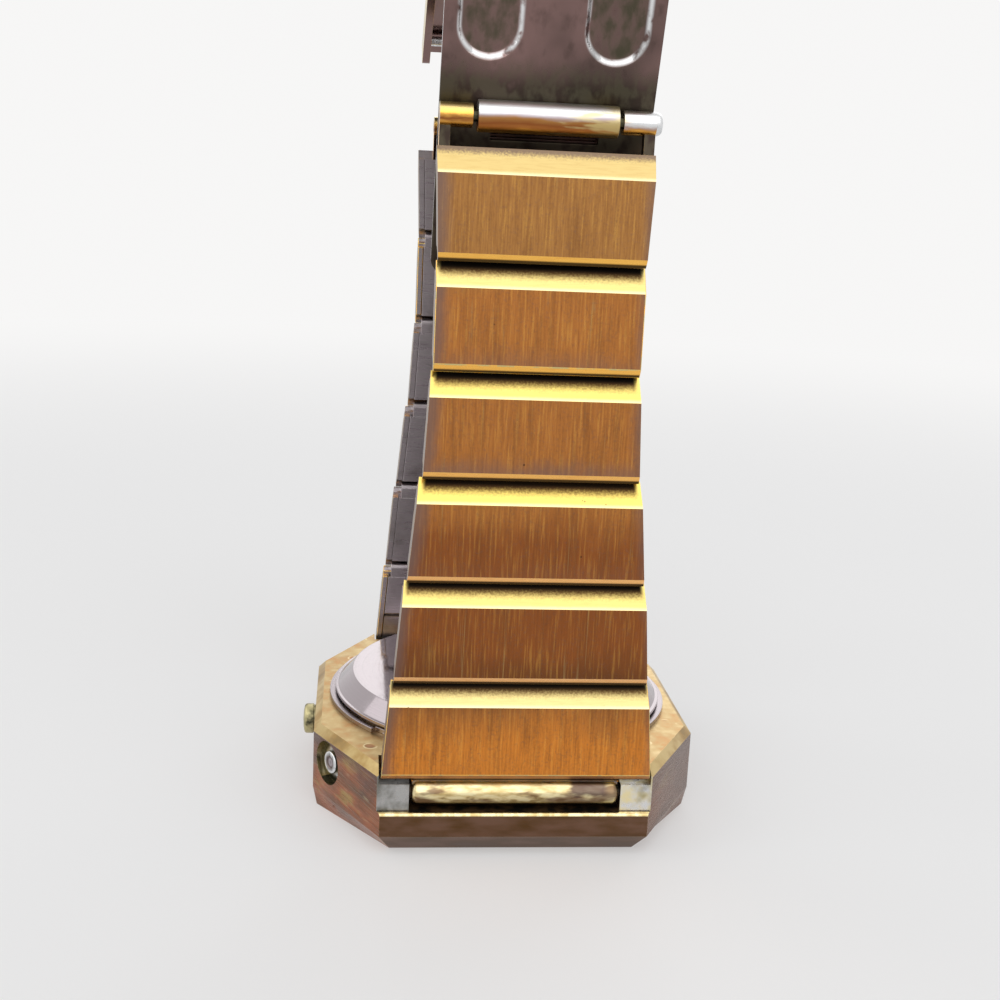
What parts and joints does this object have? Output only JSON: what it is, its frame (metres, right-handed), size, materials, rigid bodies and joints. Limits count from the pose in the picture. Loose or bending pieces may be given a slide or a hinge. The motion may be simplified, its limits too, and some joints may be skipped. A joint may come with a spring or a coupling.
{
  "type": "led watch",
  "caption": "Octagonal gold-tone digital wristwatch lying on its display, with a tapering folded-link bracelet standing up and its fold-over clasp open.",
  "frame": {"origin": "middle of the display face, on which the watch rests", "axes": "+Z out of the case back, -Y towards the six o'clock end of the bracelet, -X towards the push buttons"},
  "size_m": [0.0381, 0.051, 0.0921],
  "materials": {
    "case_gold": "worn gold plate, brushed walls and pitted back",
    "link_gold": "gold plate brushed lengthwise, polished bevels",
    "cover_gold": "gold plate, brushed, polished edges",
    "button_gold": "worn gold plate",
    "back_steel": "mirror polished steel",
    "ring_steel": "turned steel",
    "leaf_steel": "polished steel with grime",
    "liner_steel": "brushed steel",
    "pin_steel": "drawn steel",
    "ruby": "dark ruby filter",
    "display_black": "moulded display",
    "holder_plastic": "moulded nylon",
    "board_green": "circuit board",
    "chip_black": "potted chip",
    "crystal_can": "drawn can",
    "cell_steel": "button cells",
    "contact_brass": "spring contact",
    "gasket_rubber": "rubber seal"
  },
  "bodies": {
    "case": {"case_body": "case_gold", "case_back": "back_steel", "back_ring": "ring_steel", "back_gasket": "gasket_rubber", "ruby_lens": "ruby", "led_display": "display_black", "module_holder": "holder_plastic", "circuit_board": "board_green", "driver_chip": "chip_black", "quartz_crystal": "crystal_can", "button_cells": "cell_steel", "battery_strap": "contact_brass", "switch_contacts": "contact_brass"},
    "command_button": {"command_button": "button_gold", "button_clip": "pin_steel"},
    "set_pusher": {"set_pusher": "pin_steel", "setter_clip": "pin_steel"},
    "near_link_1": {"near_link_1_cap": "link_gold", "near_link_1_liner": "liner_steel", "near_link_1_pin": "pin_steel"},
    "near_link_2": {"near_link_2_cap": "link_gold", "near_link_2_liner": "liner_steel", "near_link_2_pin": "pin_steel"},
    "near_link_3": {"near_link_3_cap": "link_gold", "near_link_3_liner": "liner_steel", "near_link_3_pin": "pin_steel"},
    "near_link_4": {"near_link_4_cap": "link_gold", "near_link_4_liner": "liner_steel", "near_link_4_pin": "pin_steel"},
    "near_link_5": {"near_link_5_cap": "link_gold", "near_link_5_liner": "liner_steel", "near_link_5_pin": "pin_steel"},
    "near_link_6": {"near_link_6_cap": "link_gold", "near_link_6_liner": "liner_steel", "near_link_6_pin": "pin_steel", "clasp_pin": "pin_steel"},
    "far_link_1": {"far_link_1_cap": "link_gold", "far_link_1_liner": "liner_steel", "far_link_1_pin": "pin_steel"},
    "far_link_2": {"far_link_2_cap": "link_gold", "far_link_2_liner": "liner_steel", "far_link_2_pin": "pin_steel"},
    "far_link_3": {"far_link_3_cap": "link_gold", "far_link_3_liner": "liner_steel", "far_link_3_pin": "pin_steel"},
    "far_link_4": {"far_link_4_cap": "link_gold", "far_link_4_liner": "liner_steel", "far_link_4_pin": "pin_steel"},
    "far_link_5": {"far_link_5_cap": "link_gold", "far_link_5_liner": "liner_steel", "far_link_5_pin": "pin_steel"},
    "far_link_6": {"far_link_6_cap": "link_gold", "far_link_6_liner": "liner_steel", "far_link_6_pin": "pin_steel"},
    "base_leaf": {"base_leaf": "leaf_steel", "middle_pin": "pin_steel"},
    "middle_leaf": {"middle_leaf": "leaf_steel"},
    "cover_leaf": {"cover_leaf": "cover_gold", "cover_pin": "pin_steel", "cover_bar": "pin_steel"}
  },
  "joints": [
    {"name": "command_button_press", "type": "slide", "parent": "case", "child": "command_button", "axis": [1, 0, 0], "range_m": [0, 0.0005], "stiffness_N_per_m": 800},
    {"name": "set_pusher_press", "type": "slide", "parent": "case", "child": "set_pusher", "axis": [0.8692, 0.4944, 0], "range_m": [0, 0.0003], "stiffness_N_per_m": 800},
    {"name": "near_link_1_hinge", "type": "hinge", "parent": "case", "child": "near_link_1", "pos_m": [0, -0.0186, 0.00575], "axis": [1, 0, 0], "range_deg": [-14, 60]},
    {"name": "near_link_2_hinge", "type": "hinge", "parent": "near_link_1", "child": "near_link_2", "pos_m": [0, -0.01765, 0.0163], "axis": [1, 0, 0], "range_deg": [-14, 5]},
    {"name": "near_link_3_hinge", "type": "hinge", "parent": "near_link_2", "child": "near_link_3", "pos_m": [0, -0.01765, 0.0255], "axis": [1, 0, 0], "range_deg": [-14, 5]},
    {"name": "near_link_4_hinge", "type": "hinge", "parent": "near_link_3", "child": "near_link_4", "pos_m": [0, -0.01765, 0.0347], "axis": [1, 0, 0], "range_deg": [-14, 5]},
    {"name": "near_link_5_hinge", "type": "hinge", "parent": "near_link_4", "child": "near_link_5", "pos_m": [0, -0.01765, 0.0439], "axis": [1, 0, 0], "range_deg": [-14, 5]},
    {"name": "near_link_6_hinge", "type": "hinge", "parent": "near_link_5", "child": "near_link_6", "pos_m": [0, -0.01765, 0.0531], "axis": [1, 0, 0], "range_deg": [-14, 5]},
    {"name": "far_link_1_hinge", "type": "hinge", "parent": "case", "child": "far_link_1", "pos_m": [0, 0.0186, 0.00575], "axis": [1, 0, 0], "range_deg": [-60, 14]},
    {"name": "far_link_2_hinge", "type": "hinge", "parent": "far_link_1", "child": "far_link_2", "pos_m": [0, 0.01765, 0.0163], "axis": [1, 0, 0], "range_deg": [-5, 14]},
    {"name": "far_link_3_hinge", "type": "hinge", "parent": "far_link_2", "child": "far_link_3", "pos_m": [0, 0.01765, 0.0255], "axis": [1, 0, 0], "range_deg": [-5, 14]},
    {"name": "far_link_4_hinge", "type": "hinge", "parent": "far_link_3", "child": "far_link_4", "pos_m": [0, 0.01765, 0.0347], "axis": [1, 0, 0], "range_deg": [-5, 14]},
    {"name": "far_link_5_hinge", "type": "hinge", "parent": "far_link_4", "child": "far_link_5", "pos_m": [0, 0.01765, 0.0439], "axis": [1, 0, 0], "range_deg": [-5, 14]},
    {"name": "far_link_6_hinge", "type": "hinge", "parent": "far_link_5", "child": "far_link_6", "pos_m": [0, 0.01765, 0.0531], "axis": [1, 0, 0], "range_deg": [-5, 14]},
    {"name": "base_leaf_hinge", "type": "hinge", "parent": "near_link_6", "child": "base_leaf", "pos_m": [0, -0.0181, 0.0648], "axis": [1, 0, 0], "range_deg": [-15, 40]},
    {"name": "middle_leaf_hinge", "type": "hinge", "parent": "base_leaf", "child": "middle_leaf", "pos_m": [0, -0.02583, 0.09072], "axis": [-1, 0, 0], "range_deg": [-280, 3]},
    {"name": "cover_leaf_hinge", "type": "hinge", "parent": "middle_leaf", "child": "cover_leaf", "pos_m": [0, -0.00233, 0.09072], "axis": [1, 0, 0], "range_deg": [-65, 60]}
  ]
}
